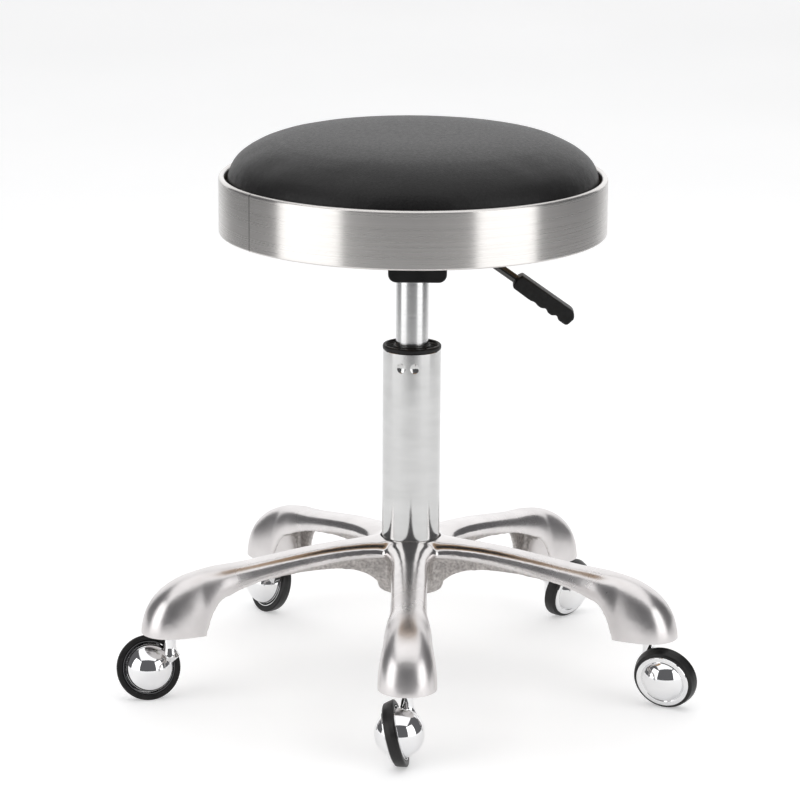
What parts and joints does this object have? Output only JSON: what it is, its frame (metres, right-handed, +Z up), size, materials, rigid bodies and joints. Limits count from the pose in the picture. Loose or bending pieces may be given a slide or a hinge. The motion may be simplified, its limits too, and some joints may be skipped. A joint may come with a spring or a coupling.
{
  "type": "dental stool",
  "caption": "Round padded stool with a brushed steel band, gas lift with hand lever, five-leg cast base and ball castors.",
  "frame": {"origin": "on the column's axis at floor level", "axes": "+Z up, -Y towards the front leg, +X towards the height lever"},
  "size_m": [0.4976, 0.4803, 0.484],
  "materials": {
    "polished_aluminium": "polished",
    "satin_chrome": "satin",
    "mirror_chrome": "polished",
    "brushed_steel": "satin",
    "black_steel": "satin",
    "zinc_steel": "satin",
    "black_plastic": "matte",
    "black_rubber": "matte",
    "black_tyre": "matte",
    "black_cover": "matte",
    "plywood": "matte"
  },
  "bodies": {
    "base": {"base_casting": "polished_aluminium", "column_tube": "satin_chrome", "guide_collar": "black_plastic", "guide_sleeve": "black_plastic", "thrust_bearing": "zinc_steel", "end_washer": "zinc_steel", "retaining_clip": "zinc_steel", "castor_socket_1": "black_plastic", "castor_socket_2": "black_plastic", "castor_socket_3": "black_plastic", "castor_socket_4": "black_plastic", "castor_socket_5": "black_plastic"},
    "spindle": {"piston_rod": "satin_chrome", "piston": "black_rubber"},
    "seat": {"gas_cylinder": "satin_chrome", "cylinder_gland": "black_rubber", "mechanism_plate": "black_steel", "lever_pivot_pin": "zinc_steel", "seat_bolt_1": "zinc_steel", "seat_bolt_2": "zinc_steel", "seat_bolt_3": "zinc_steel", "seat_bolt_4": "zinc_steel", "seat_board": "plywood", "seat_band": "brushed_steel", "cushion": "black_cover"},
    "valve": {"valve_pin": "zinc_steel"},
    "lever": {"lever_rod": "black_steel", "lever_grip": "black_plastic"},
    "castor_1": {"castor_stem_1": "zinc_steel", "castor_hood_1": "mirror_chrome", "castor_axle_1": "zinc_steel"},
    "wheel_1": {"castor_wheel_1": "mirror_chrome", "castor_tyre_1": "black_tyre"},
    "castor_2": {"castor_stem_2": "zinc_steel", "castor_hood_2": "mirror_chrome", "castor_axle_2": "zinc_steel"},
    "wheel_2": {"castor_wheel_2": "mirror_chrome", "castor_tyre_2": "black_tyre"},
    "castor_3": {"castor_stem_3": "zinc_steel", "castor_hood_3": "mirror_chrome", "castor_axle_3": "zinc_steel"},
    "wheel_3": {"castor_wheel_3": "mirror_chrome", "castor_tyre_3": "black_tyre"},
    "castor_4": {"castor_stem_4": "zinc_steel", "castor_hood_4": "mirror_chrome", "castor_axle_4": "zinc_steel"},
    "wheel_4": {"castor_wheel_4": "mirror_chrome", "castor_tyre_4": "black_tyre"},
    "castor_5": {"castor_stem_5": "zinc_steel", "castor_hood_5": "mirror_chrome", "castor_axle_5": "zinc_steel"},
    "wheel_5": {"castor_wheel_5": "mirror_chrome", "castor_tyre_5": "black_tyre"}
  },
  "joints": [
    {"name": "seat_swivel", "type": "hinge", "parent": "base", "child": "spindle", "pos_m": [0, 0, 0.09], "axis": [0, 0, 1], "continuous": true},
    {"name": "seat_height", "type": "slide", "parent": "spindle", "child": "seat", "axis": [0, 0, 1], "range_m": [-0.05, 0.075]},
    {"name": "lever_lift", "type": "hinge", "parent": "seat", "child": "lever", "pos_m": [0.018, 0, 0.3861], "axis": [0, -1, 0], "range_deg": [0, 8], "stiffness_Nm_per_rad": 3, "springref_deg": -5.73},
    {"name": "valve_press", "type": "slide", "parent": "seat", "child": "valve", "axis": [0, 0, -1], "range_m": [0, 0.003]},
    {"name": "castor_swivel_1", "type": "hinge", "parent": "base", "child": "castor_1", "pos_m": [0, -0.216, 0.0595], "axis": [0, 0, 1], "continuous": true},
    {"name": "wheel_spin_1", "type": "hinge", "parent": "castor_1", "child": "wheel_1", "pos_m": [-0.00936, -0.23322, 0.02648], "axis": [0.9686, -0.0643, 0.2402], "continuous": true},
    {"name": "castor_swivel_2", "type": "hinge", "parent": "base", "child": "castor_2", "pos_m": [0.20543, -0.06675, 0.0595], "axis": [0, 0, 1], "continuous": true},
    {"name": "wheel_spin_2", "type": "hinge", "parent": "castor_2", "child": "wheel_2", "pos_m": [0.21843, -0.08141, 0.02648], "axis": [0.3902, 0.8888, 0.2402], "continuous": true},
    {"name": "castor_swivel_3", "type": "hinge", "parent": "base", "child": "castor_3", "pos_m": [0.12696, 0.17475, 0.0595], "axis": [0, 0, 1], "continuous": true},
    {"name": "wheel_spin_3", "type": "hinge", "parent": "castor_3", "child": "wheel_3", "pos_m": [0.14514, 0.18208, 0.02648], "axis": [-0.7065, 0.6657, 0.2402], "continuous": true},
    {"name": "castor_swivel_4", "type": "hinge", "parent": "base", "child": "castor_4", "pos_m": [-0.12696, 0.17475, 0.0595], "axis": [0, 0, 1], "continuous": true},
    {"name": "wheel_spin_4", "type": "hinge", "parent": "castor_4", "child": "wheel_4", "pos_m": [-0.13032, 0.19406, 0.02648], "axis": [-0.799, -0.5512, 0.2402], "continuous": true},
    {"name": "castor_swivel_5", "type": "hinge", "parent": "base", "child": "castor_5", "pos_m": [-0.20543, -0.06675, 0.0595], "axis": [0, 0, 1], "continuous": true},
    {"name": "wheel_spin_5", "type": "hinge", "parent": "castor_5", "child": "wheel_5", "pos_m": [-0.22491, -0.06462, 0.02648], "axis": [0.308, -0.9206, 0.2402], "continuous": true}
  ],
  "couplings": [
    {"joint": "valve_press", "follows": "lever_lift", "m_per_rad": 0.021}
  ]
}
